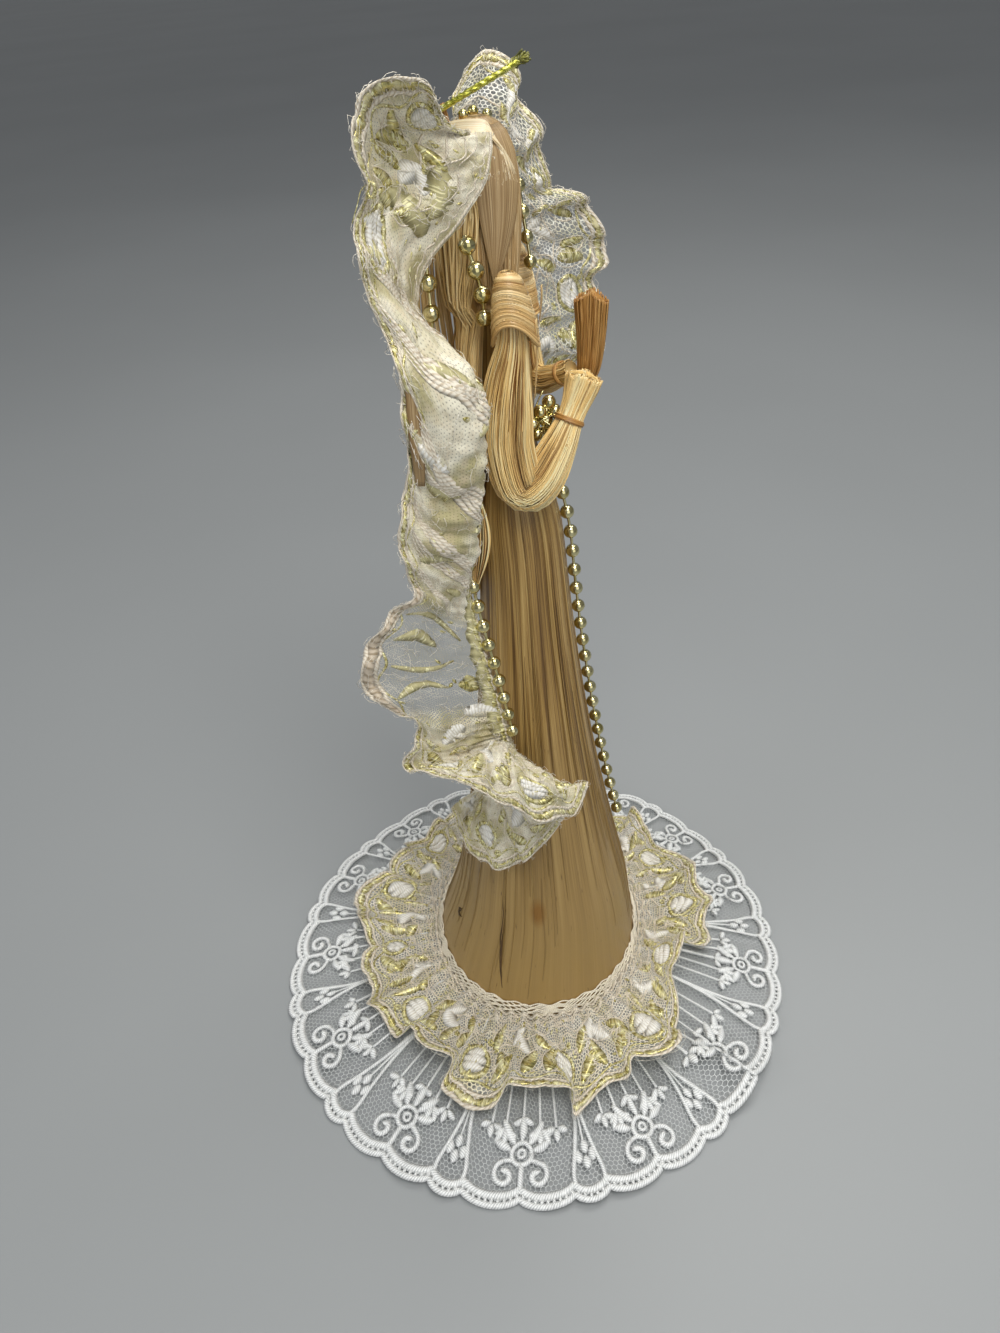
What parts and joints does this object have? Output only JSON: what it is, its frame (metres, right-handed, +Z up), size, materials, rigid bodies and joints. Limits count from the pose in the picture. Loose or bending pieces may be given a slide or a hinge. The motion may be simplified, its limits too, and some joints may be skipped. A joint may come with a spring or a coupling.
{
  "type": "straw angel figurine",
  "caption": "Praying angel figurine of combed straw fibre with a hollow bell gown, gathered lace wings and hem, a gold cord halo and bead garlands.",
  "frame": {"origin": "on the floor, under the middle of the white hem lace", "axes": "+Z up, the angel faces -Y and its right side is -X"},
  "size_m": [0.1319, 0.132, 0.2077],
  "materials": {
    "straw": "combed golden fibre, glued, with a soft sheen",
    "pale_straw": "combed pale golden fibre, glossy",
    "dark_straw": "orange-brown fibre, dull",
    "hair_straw": "wavy brown fibre strands, soft sheen",
    "gold_beads": "mirror-bright pale gold metallised plastic",
    "gold_cord": "braided metallic gold thread",
    "cream_lace": "cream net with metallic gold embroidery",
    "white_lace": "white net with white embroidery"
  },
  "bodies": {
    "root": {"straw_gown": "straw", "head": "straw", "hair": "hair_straw", "halo": "gold_cord", "right_sleeve_cap": "pale_straw", "left_sleeve_cap": "pale_straw", "right_arm": "pale_straw", "left_arm": "pale_straw", "right_wrist_tie": "dark_straw", "left_wrist_tie": "dark_straw", "praying_hands": "dark_straw", "front_bead_garland": "gold_beads", "right_neck_bead_garland": "gold_beads", "left_neck_bead_garland": "gold_beads", "right_wing_straw": "dark_straw", "right_wing_lace": "cream_lace", "right_wing_bead_garland": "gold_beads", "left_wing_straw": "dark_straw", "left_wing_lace": "cream_lace", "left_wing_bead_garland": "gold_beads", "white_hem_lace": "white_lace", "gold_hem_lace": "cream_lace"}
  },
  "joints": []
}
